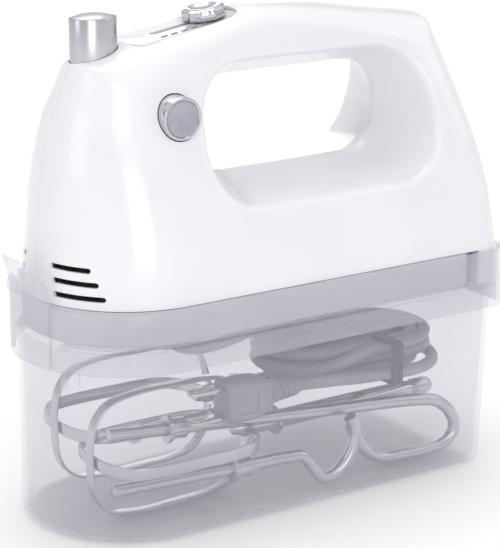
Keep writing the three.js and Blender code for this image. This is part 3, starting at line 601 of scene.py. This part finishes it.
def openTop(piece, z, both=False):
    choose(piece, lambda middle, normal: normal.z > 0.9 and abs(middle.z - z) < 0.1
           or both and normal.z < -0.9, "FACE")
    bpy.ops.mesh.delete(type="FACE")
    bpy.ops.object.mode_set(mode="OBJECT")
    return piece


tub = {"top": 80.9, "low": (45.2, -107.2, 95.3, 8), "high": (45.5, -107.2, 99.4, 8), "wall": 2.2,
       "foot": 4.5, "rib": ((-105.5, -23.5, 66), (-97, -22, 72.2))}
tray = {"low": 72.7, "high": 98, "plan": (48, -110, 104.2, 9), "wall": 2.1, "floor": (81.2, 82.8),
        "window": (-82, 84, 30), "flange": (109.2, 38, 97.6, 2), "roll": 1.5, "slot": 17.4}


def makeTub():
    piece = addBullet("case_tub", [(0,) + tub["low"], (tub["top"],) + tub["high"]])
    choose(piece, lambda a, b: a.z < 0.01 and b.z < 0.01, "EDGE")
    bpy.ops.mesh.bevel(offset=tub["foot"] * mm, segments=5)
    openTop(piece, tub["top"])
    modify(piece, "SOLIDIFY", thickness=tub["wall"] * mm, offset=-1, use_even_offset=True)
    rib = addRounded("catch_rib", *tub["rib"], 0, 0.6, 3)
    combine(piece, rib, "UNION")
    softened(piece, 0.35, 2, 50)
    return dressed(piece, clearSan, "case", "clear_plastic", "storage_tub")


def makeTray():
    half, nose, rear, corner = tray["plan"]
    piece = addBullet("case_tray", [(tray["low"],) + tray["plan"], (tray["high"],) + tray["plan"]])
    openTop(piece, tray["high"], both=True)
    modify(piece, "SOLIDIFY", thickness=tray["wall"] * mm, offset=-1, use_even_offset=True)
    inside = tray["wall"] - 0.3
    plan = (half - inside, nose + inside, rear - inside, corner - inside)
    floor = addBullet("tray_floor", [(tray["floor"][0],) + plan, (tray["floor"][1],) + plan])
    front, back, side = tray["window"]
    combine(floor, addRounded("tray_window", (front, -side, 70), (back, side, 90), 2, 12, 8))
    combine(piece, floor, "UNION")
    reach, side, top, thick = tray["flange"]
    flange = addRounded("rear_flange", (rear - 1, -side, top - thick), (reach - 1.2, side, top), 2, 0.4, 2)
    edge = reach - tray["roll"]
    roll = addRod("flange_roll", tray["roll"], (edge, -side, top - 1), (edge, side, top - 1), 24)
    combine(flange, roll, "UNION")
    combine(piece, flange, "UNION")
    combine(piece, addBlock("latch_slot", (nose - 20, -tray["slot"], 60), (nose + 12, tray["slot"], 120)))
    softened(piece, 0.3, 2, 50)
    return dressed(piece, traySan, "mixer", "clear_plastic", "storage_tray")


latch = {"low": 72.7, "shoulder": 99, "top": 117, "half": 16.6, "flare": 8, "thick": 1.9, "web": 5.4,
         "webHeight": 106, "steps": 14, "narrowing": (0.9, 2.6), "curl": 1.8}


def makeLatch():
    # A bent sheet on the nose's arc that rises, narrows to an arch and flares away from the mixer
    radius, nose = tray["plan"][0], tray["plan"][1]
    centre = nose + radius
    deselectAll()
    tall, middleZ = latch["shoulder"] - latch["low"], (latch["shoulder"] + latch["low"]) / 2
    bpy.ops.mesh.primitive_cylinder_add(vertices=180, radius=radius * mm, depth=tall * mm,
                                        end_fill_type="NOTHING", location=(centre * mm, 0, middleZ * mm))
    piece = settled(named("case_latch"))
    choose(piece, lambda middle, normal: middle.x > centre or abs(middle.y) > latch["half"], "FACE")
    bpy.ops.mesh.delete(type="FACE")
    for step in range(1, latch["steps"] + 1):
        share, last = step / latch["steps"], (step - 1) / latch["steps"]
        height = latch["shoulder"] + (latch["top"] - latch["shoulder"]) * last
        choose(piece, lambda a, b: abs(a.z - height) < 0.01 and abs(b.z - height) < 0.01, "EDGE")
        rise = (latch["top"] - latch["shoulder"]) / latch["steps"]
        bpy.ops.mesh.extrude_edges_move(TRANSFORM_OT_translate={"value": (0, 0, rise * mm)})
        loss, power = latch["narrowing"]
        widths = [sqrt(1 - loss * s ** power) for s in (last, share)]
        reaches = [radius + latch["flare"] * s ** latch["curl"] for s in (last, share)]
        grow((reaches[1] / reaches[0], widths[1] / widths[0], 1), (centre, 0, height + rise))
    modify(outward(piece), "SOLIDIFY", thickness=latch["thick"] * mm, offset=-1, use_even_offset=True)
    x, z = nose - 0.6, latch["webHeight"]
    web = addRod("latch_web", latch["web"], (x, -0.9, z), (x, 0.9, z), 40)
    keep = addBullet("web_keep", [(90, 46.4, nose + 1.2, 0, 5), (125, 46.4, nose + 1.2, 0, 5)])
    combine(web, keep)
    combine(piece, web, "UNION")
    softened(piece, 0.4, 3, 50)
    return dressed(piece, traySan, "latch", "clear_plastic", "front_latch")


makeTub()
makeTray()
makeLatch()
print("case made")

# Mixer housing: one soft form, opened for the handle, hollowed and parted into two halves

body = {
    "levels": [
        (78, 45.0, -104.9, 101.3, 7.5), (98.6, 45.2, -105, 101.4, 8), (110, 44.6, -103.7, 101, 9),
        (124, 43, -102.3, 99.8, 10), (138, 40.2, -101.2, 98.2, 12), (150, 36.8, -99.7, 96, 13),
        (162, 32.6, -97.4, 93.4, 14), (172, 28.8, -94.3, 91, 14), (182, 24.6, -89.4, 88, 13),
        (191, 20.8, -86.2, 85.4, 12), (200, 18.2, -83, 84, 11), (214, 16.4, -80, 83, 10)],
    "topLine": [(-130, 177.4), (-86, 191.8), (-64, 197.4), (-49, 201.1), (-35, 203.3), (-20, 206.6),
                (-5.6, 209.2), (12, 207.9), (37, 204.9), (56, 201.8), (85, 197.7), (130, 189)],
    "crown": [(0, 0), (5, 0.25), (9, 0.95), (12, 2), (15, 3.6), (18, 6), (21, 9.4), (25, 15), (30, 23.5),
              (36, 36), (50, 72)],
    "opening": (-33, 63, 140, 180), "corner": 18, "flare": (0.3, 0.31, 0.18, 0.45),
    "flareReach": 55, "voxel": 1.5, "rounding": 14, "wall": 2.2, "seam": 0.12,
    "bottom": 98.6, "heelFront": 88.2, "heelBottom": 83.2}
vents = {"rows": [(103, 12.5, 33), (108.5, 11.5, 30.5), (114, 10, 27.5)], "half": 1.1, "x": (-114, -80)}
panel = {"at": (-37, 0, 201.3), "tilt": -0.152, "length": 50, "width": 23, "thick": 2.4, "corner": 6,
         "rim": 1, "field": 0.2, "rises": ((4, 0.5), (1.6, 0.8)), "slot": 4.1, "park": 14, "travel": 24,
         "ticks": 6, "tick": (1.5, -8.4, -7.2)}
boost = {"x": -54, "z": 171, "radius": 8.75, "face": -33.4, "back": -22.4, "flange": 9.6}
eject = {"x": -75, "length": 20, "width": 16, "top": 211, "bottom": 181}


def makeTopCutter():
    # The side outline under the top line, pushed out to each side and dropped to round the crown
    deselectAll()
    bpy.ops.mesh.primitive_plane_add(size=1, rotation=(pi / 2, 0, 0))
    piece = settled(named("under_top"))
    count = len(body["topLine"])
    choose(piece, lambda a, b: a.z > 0 and b.z > 0, "EDGE")
    bpy.ops.mesh.subdivide(number_cuts=count - 2)
    mesh = bmesh.from_edit_mesh(piece.data)
    upper = sorted((v for v in mesh.verts if v.co.z > 0), key=lambda v: v.co.x)
    for vert, (x, z) in zip(upper, body["topLine"]):
        vert.co = Vector((x, 0, z)) * mm
    for vert in mesh.verts:
        if vert not in upper:
            vert.co = Vector((body["topLine"][0 if vert.co.x < 0 else -1][0], 0, 20)) * mm
    bmesh.update_edit_mesh(piece.data)
    bpy.ops.object.mode_set(mode="OBJECT")
    other = copied(piece, "under_top_far")
    for half, side in ((piece, -1), (other, 1)):
        for (y, drop), (nextY, nextDrop) in zip(body["crown"], body["crown"][1:]):
            choose(half, lambda middle, normal: abs(middle.y - side * y) < 0.01 and abs(normal.y) > 0.9,
                   "FACE")
            extrude((0, side * (nextY - y), drop - nextDrop))
        choose(half, lambda middle, normal: abs(middle.y) < 0.01 and abs(normal.y) > 0.9, "FACE")
        bpy.ops.mesh.delete(type="ONLY_FACE")
    return outward(joined(piece, other))


def makeOpeningCutter():
    front, rear, low, high = body["opening"]
    halves = []
    for side in (-1, 1):
        piece = addRounded("handle_opening", (front, 0, low), (rear, 1, high), 1, body["corner"], 12)
        choose(piece, lambda middle, normal: normal.y > 0.9, "FACE")
        reach = body["flareReach"]
        extrude((0, reach - 1, 0))
        frontOut, rearOut, lowOut, highOut = (rate * reach for rate in body["flare"])
        wide, tall = rear - front, high - low
        grow(((wide + frontOut + rearOut) / wide, 1, (tall + lowOut + highOut) / tall),
             ((front + rear) / 2, reach, (low + high) / 2))
        shift(((rearOut - frontOut) / 2, 0, (highOut - lowOut) / 2))
        bpy.ops.object.mode_set(mode="OBJECT")
        if side < 0:
            piece.scale = (1, -1, 1)
            settled(piece)
        choose(piece, lambda middle, normal: abs(middle.y) < 0.01 and abs(normal.y) > 0.9, "FACE")
        bpy.ops.mesh.delete(type="ONLY_FACE")
        bpy.ops.object.mode_set(mode="OBJECT")
        halves.append(piece)
    return outward(joined(*halves))


def makeHousing():
    form = addBullet("housing", body["levels"], 40, 10)
    combine(form, makeTopCutter(), "INTERSECT")
    combine(form, makeOpeningCutter())
    modify(form, "REMESH", mode="VOXEL", voxel_size=body["voxel"] * mm, use_smooth_shade=True)
    modify(form, "SMOOTH", factor=0.5, iterations=body["rounding"])
    print("housing form", len(form.data.polygons), "faces")
    low, front = body["heelBottom"], body["heelFront"]
    combine(form, addBlock("under_heel", (-130, -60, 60), (130, 60, low)))
    combine(form, addBlock("under_body", (-130, -60, 60), (front, 60, body["bottom"])))
    choose(form, lambda middle, normal: normal.z < -0.9 and abs(middle.z - body["bottom"]) < 0.05
           and middle.x < front, "FACE")
    bpy.ops.mesh.delete(type="FACE")
    modify(form, "SOLIDIFY", thickness=body["wall"] * mm, offset=-1, use_even_offset=True,
           thickness_clamp=1)
    print("housing shell", len(form.data.polygons), "faces")
    cutters = []
    (ahead, behind), tall = vents["x"], vents["half"]
    for height, inner, outer in vents["rows"]:
        for side in (-1, 1):
            ends = sorted((inner * side, outer * side))
            cutters.append(addRounded("vent", (ahead, ends[0], height - tall),
                                      (behind, ends[1], height + tall), 0, tall - 0.05, 5))
    length, width = panel["length"] / 2 + 0.25, panel["width"] / 2 + 0.25
    pocket = addRounded("panel_pocket", (-length, -width, -panel["thick"] - 3),
                        (length, width, 14), 2, 6, 8)
    cutters.append(placed(pocket, panel["at"], (0, panel["tilt"], 0)))
    well = addRod("eject_well", 1, (0, 0, 176), (0, 0, 230), 64)
    well.scale = (eject["length"] / 2 + 0.35, eject["width"] / 2 + 0.35, 1)
    cutters.append(placed(settled(well), (eject["x"], 0, 0)))
    cutters.append(addRod("boost_well", boost["radius"] + 0.4, (boost["x"], -60, boost["z"]),
                          (boost["x"], -12, boost["z"]), 64))
    combine(form, joined(*cutters))
    print("housing opened", len(form.data.polygons), "faces")
    for name, side, node in (("housing_left", -1, "left_housing"), ("housing_right", 1, "right_housing")):
        half = copied(form, name)
        ends = sorted((side * body["seam"] / 2, side * 60))
        combine(half, addBlock("keep_half", (-130, ends[0], 60), (130, ends[1], 230)), "INTERSECT")
        dressed(half, whiteAbs, "mixer", "white_abs", node)
    bpy.data.objects.remove(form)


makeHousing()
print("housing made")

# Grey cover under the mixer: a shallow dish that shows as a band through the tray

cover = {"plan": (45, -104.6, 87.6, 10), "low": 83.2, "high": 98.2, "wall": 2.2, "port": 6.4, "socket": 6.6,
         "spindle": (-52, 20), "screws": [(-84, 22), (-84, -22), (79, 30), (79, -30)], "counterbore": 3.9}


def makeCover():
    piece = addBullet("mixer_cover", [(cover["low"],) + cover["plan"], (cover["high"],) + cover["plan"]])
    choose(piece, lambda a, b: max(a.z, b.z) < cover["low"] + 0.01, "EDGE")
    bpy.ops.mesh.bevel(offset=1.6 * mm, segments=4)
    openTop(piece, cover["high"])
    modify(piece, "SOLIDIFY", thickness=cover["wall"] * mm, offset=-1, use_even_offset=True)
    x, y = cover["spindle"]
    low = cover["low"]
    cutters = [addRod("spindle_socket", cover["socket"], (x, side * y, low - 2), (x, side * y, low + 4), 40)
               for side in (-1, 1)]
    seat = cover["counterbore"]
    cutters += [addRod("screw_seat", seat, (x, y, low - 2), (x, y, low + 4), 32)
                for x, y in cover["screws"]]
    start, end = alongExit(-14), alongExit(14)
    cutters.append(addRod("cord_port", cover["port"], start, end, 48))
    combine(piece, joined(*cutters))
    return dressed(softened(piece, 0.3, 2, 50), greyAbs, "mixer", "grey_abs", "bottom_cover")


makeCover()
print("cover made")

# Controls


def onPanel(piece):
    return placed(piece, panel["at"], (0, panel["tilt"], 0))


def makePanel():
    length, width, slot = panel["length"] / 2, panel["width"] / 2, panel["slot"] / 2
    piece = addRounded("speed_panel", (-length, -width, -panel["thick"]), (length, width, 0), 2,
                       panel["corner"], 10)
    choose(piece, lambda middle, normal: normal.z > 0.9, "FACE")
    bpy.ops.mesh.inset(thickness=panel["rim"] * mm)
    extrude((0, 0, -panel["field"]))  # a shallow field inside a raised rim
    for reach, rise in panel["rises"]:  # its rear end rises to meet the crown
        choose(piece, lambda p: p.x > length - reach and p.z > -1)
        shift((0, 0, rise))
    bpy.ops.object.mode_set(mode="OBJECT")
    end = panel["park"] + slot
    combine(piece, addRounded("speed_slot", (end - panel["travel"] - 2 * slot, -slot, -9), (end, slot, 9),
                              2, 1.9, 8))
    softened(piece, 0.25, 2, 40)
    onPanel(piece)
    marks = []
    half, near, far = panel["tick"]
    for step in range(panel["ticks"]):
        x = panel["park"] - panel["travel"] * step / (panel["ticks"] - 1)
        marks.append(addRounded("tick", (x - half, near, -0.22), (x + half, far, -0.12), 2, 0.4, 3))
    ticks = onPanel(joined(*marks))
    ticks.name = ticks.data.name = "speed_marks"
    dressed(ticks, greyInk, "mixer", "black_plastic")
    return dressed(piece, whiteAbs, "mixer", "white_abs", "top_plate")


knob = {"radius": 9.25, "height": 5, "scallops": 10, "hollows": ((0.4, 0.985), (0.28, 0.975)),
        "dimple": 5.4, "lift": 0.5, "stem": 1.9}


def makeKnob():
    # A low scalloped wheel: shallow hollows round the rim, and a top dished for the thumb
    low, high, radius = knob["lift"], knob["lift"] + knob["height"], knob["radius"]
    profile = [(0, low), (radius - 1.1, low), (radius - 0.35, low + 0.35), (radius, low + 1),
               (radius, high - 1.4), (radius - 0.3, high - 0.6), (radius - 1.1, high - 0.1),
               (radius - 2.2, high), (knob["dimple"] + 0.5, high),
               (knob["dimple"], high - 0.15), (knob["dimple"] - 1, high - 0.8),
               (knob["dimple"] - 2.6, high - 1.25), (0, high - 1.4)]
    piece = addTurned("speed_knob_wheel", profile, 8 * knob["scallops"])
    for i in range(knob["scallops"]):
        for spread, size in knob["hollows"]:
            middle = 2 * pi * i / knob["scallops"]
            choose(piece, lambda p: p.xy.length > radius * 0.74
                   and abs(remainder(atan2(p.y, p.x) - middle, 2 * pi))
                   < spread * 2 * pi / knob["scallops"])
            grow((size, size, 1), (0, 0, 0))
    bpy.ops.object.mode_set(mode="OBJECT")
    softened(piece, 0.2, 2, 40)
    combine(piece, addRod("knob_stem", knob["stem"], (0, 0, -5.5), (0, 0, low + 1), 32), "UNION")
    placed(piece, (panel["park"], 0, 0))
    return dressed(onPanel(piece), brightChrome, "speed", "chromed", "speed_knob")


def makeEject():
    # An oval plunger with upright brushing; its cap rises to a low ridge across the mixer
    top, low, length, width = eject["top"], eject["bottom"], eject["length"] / 2, eject["width"] / 2
    profile = [(0, low), (1, low), (1, top - 2.6), (0.985, top - 2.2), (0.95, top - 1.9), (0.9, top - 1.6),
               (0.6, top - 0.7), (0.3, top - 0.2), (0, top)]
    piece = addTurned("eject_plunger", profile, 96)
    piece.scale = (length, width, 1)
    settled(piece)
    bore = addTurned("plunger_bore", [(0, low - 1), (0.82, low - 1), (0.82, top - 6), (0, top - 6)], 64)
    bore.scale = (length, width, 1)
    combine(piece, settled(bore))
    softened(piece, 0.25, 2, 50)
    placed(piece, (eject["x"], 0, 0))
    return dressed(piece, brushedChrome, "eject", "chromed", "eject_button")


def makeBoost():
    # A barrel with a bright rolled rim; the dished face in it is satin
    radius, long = boost["radius"], boost["back"] - boost["face"]
    rim = [(0, 1.6), (radius - 1.5, 1.6), (radius - 1.5, 0.5), (radius - 1.2, 0.1), (radius - 0.75, 0),
           (radius - 0.3, 0.12), (radius, 0.6), (radius, long), (boost["flange"], long),
           (boost["flange"], long + 1.6), (3, long + 1.6), (3, long + 7.4), (0, long + 7.4)]
    barrel = addTurned("boost_barrel", rim, 72)
    place = (boost["x"], boost["face"], boost["z"])
    placed(barrel, place, (-pi / 2, 0, 0))
    face = [(0, 1.3), (2.5, 1.15), (5, 0.75), (radius - 1.9, 0.3), (radius - 1.55, 0.35),
            (radius - 1.55, 1.55), (0, 1.55)]
    dish = addTurned("boost_face", face, 72)
    placed(dish, place, (-pi / 2, 0, 0))
    dressed(barrel, brightChrome, "turbo", "chromed", "turbo_button")
    return dressed(dish, satinChrome, "turbo", "chromed")


makePanel()
makeKnob()
makeEject()
makeBoost()
print("controls made")

# Beaters and dough hooks in the tub

beater = {"front": -89, "hub": -13, "end": 87, "half": 26, "strip": 5.5, "thick": 1.1, "shaft": 4,
          "places": {"beater_1": (-15, 29.2), "beater_2": (15, 35.4)}}


def loopPlaces(front, half, hub):
    flank = [(hub, 4.9), (hub - 1.6, 11.5), (hub - 4.6, half - 7), (hub - 10, half - 2.4),
             (hub - 18, half - 0.4), (hub - 30, half), (front + 17, half - 0.5), (front + 9, half - 2.6),
             (front + 3.2, half - 8), (front + 0.6, half - 15)]
    return flank + [(front, 0)] + [(x, -v) for x, v in reversed(flank)]


def makeBeater(name, y, z):
    hub = beater["hub"]
    loops = [("upright", beater["front"], beater["half"], hub),
             ("flat", beater["front"] + 1.6, beater["half"] - 0.6, hub - 1)]
    for kind, front, half, root in loops:
        places = [(x, v, 0) for x, v in loopPlaces(front, half, root)]
        strip = addWire(f"{name}_{kind}_strip", places, beater["thick"] / 2,
                        beater["strip"] - beater["thick"], 14, 2)
        strip = asMesh(strip)
        placed(strip, (0, y, z), (pi / 2 if kind == "upright" else 0, 0, 0))
        dressed(strip, platedSteel, "case", "steel", f"{name}_{kind}_loop")
    radius, end = beater["shaft"], beater["end"]
    profile = [(0, hub - 7), (2.2, hub - 7), (2.6, hub - 6.5), (3.2, hub - 3.5), (radius, hub - 2),
               (radius, hub + 13.6), (6, hub + 13.8), (6.2, hub + 14.1), (6.2, hub + 15.2), (6, hub + 15.5),
               (radius, hub + 15.8), (radius, end - 14), (3.3, end - 13.4), (3.3, end - 11),
               (radius, end - 10.4), (radius, end - 3.5), (3.6, end - 2), (2.6, end - 0.4), (2, end), (0, end)]
    shaft = placed(addTurned(f"{name}_rod", profile, 40), (0, y, z), (0, pi / 2, 0))
    wings = addRounded("drive_wings", (hub + 31, y - 7, z - 0.7), (hub + 37, y + 7, z + 0.7), 2, 1.4, 4)
    combine(shaft, wings, "UNION")
    softened(shaft, 0.2, 2, 40)
    return dressed(shaft, platedSteel, "case", "steel", f"{name}_shaft")


for name, (y, z) in beater["places"].items():
    makeBeater(name, y, z)

hooks = {
    "dough_hook_1": {
        "at": (-85, -26, 19.3), "heading": -0.1, "lean": 0.0, "length": 89, "collar": 54, "ears": (13, 39),
        "bend": [(-6, 0), (-1, -0.6), (2.4, -3.6), (5.6, -8), (8.6, -11.6), (11.6, -12.8), (15, -12),
                 (19.4, -8.8), (23, -3.6), (25, 2.4), (25, 8), (22.6, 13)]},
    "dough_hook_2": {
        "at": (-82, -18, 40.3), "heading": -0.089, "lean": 0.068, "length": 151, "collar": 26,
        "ears": (12,),
        "bend": [(0, 0), (7, -0.8), (13, -3.6), (17.8, -8.4), (20, -14), (18.4, -19), (13.6, -22.2),
                 (7, -23.6), (-8, -25), (-16, -25.2), (-22.4, -23), (-28, -18.6), (-32, -13.4),
                 (-34.5, -8)]}}
hookRadius = 2.75
driveEar = {"half": (3.6, 0.8, 4.5), "corner": 3.5}


def makeHook(name, hook):
    length, collar = hook["length"], hook["collar"]
    places = [(x, 0, 0) for x in (0, length / 3, length * 2 / 3)]
    places += [(length + x, 0, z) for x, z in hook["bend"]]
    rod = asMesh(addWire(f"{name}_bar", places, hookRadius, smoothness=14, sides=6))
    softened(rod, 0.8, 3, 60)
    for x in hook["ears"]:  # pressed out of the bar above and below, where the gear drives it
        middle, half = Vector((x, 0, 0)), Vector(driveEar["half"])
        ear = addRounded("drive_ear", middle - half, middle + half, 1, driveEar["corner"], 6)
        combine(rod, softened(ear, 0.4, 2), "UNION")
    bore = hookRadius + 0.1
    ring = addTurned(f"{name}_sleeve", [(bore, 0), (5.7, 0), (6, 0.3), (6, 1.4), (5.7, 1.7), (4.4, 1.9),
                                        (4.4, 8.5), (4, 9), (bore, 9), (bore, 0)], 40)
    placed(ring, (collar, 0, 0), (0, pi / 2, 0))
    for piece, node in ((rod, "rod"), (ring, "collar")):
        lean, heading = Matrix.Rotation(hook["lean"], 4, "Y"), Matrix.Rotation(hook["heading"], 4, "Z")
        piece.matrix_world = Matrix.Translation(Vector(hook["at"]) * mm) @ lean @ heading
        settled(piece)
        dressed(piece, platedSteel, "case", "steel", f"{name}_{node}")


for name, hook in hooks.items():
    makeHook(name, hook)
print("beaters and hooks made")

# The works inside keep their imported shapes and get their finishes

inside = {
    zincSteel: ["housing_screw_1", "housing_screw_2", "housing_screw_3", "housing_screw_4", "chassis",
                "rear_bracket", "stator_core", "armature_core"],
    blackPlastic: ["speed_carriage", "speed_switch", "turbo_switch", "cooling_fan"],
    naturalNylon: ["ejector_fork", "worm_wheel_left", "worm_wheel_right"],
    turnedSteel: ["eject_spring", "turbo_spring", "armature_shaft"],
    woundCopper: ["field_coil_left", "field_coil_right", "armature_winding_front", "armature_winding_rear",
                  "commutator"],
    turnedBrass: ["bearing_front", "bearing_rear", "brush_holder_left", "brush_holder_right"],
    pressedCarbon: ["brush_left", "brush_right"]}
for material, names in inside.items():
    for name in names:
        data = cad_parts[name].data
        data.materials.clear()
        data.materials.append(material)
print("works finished")
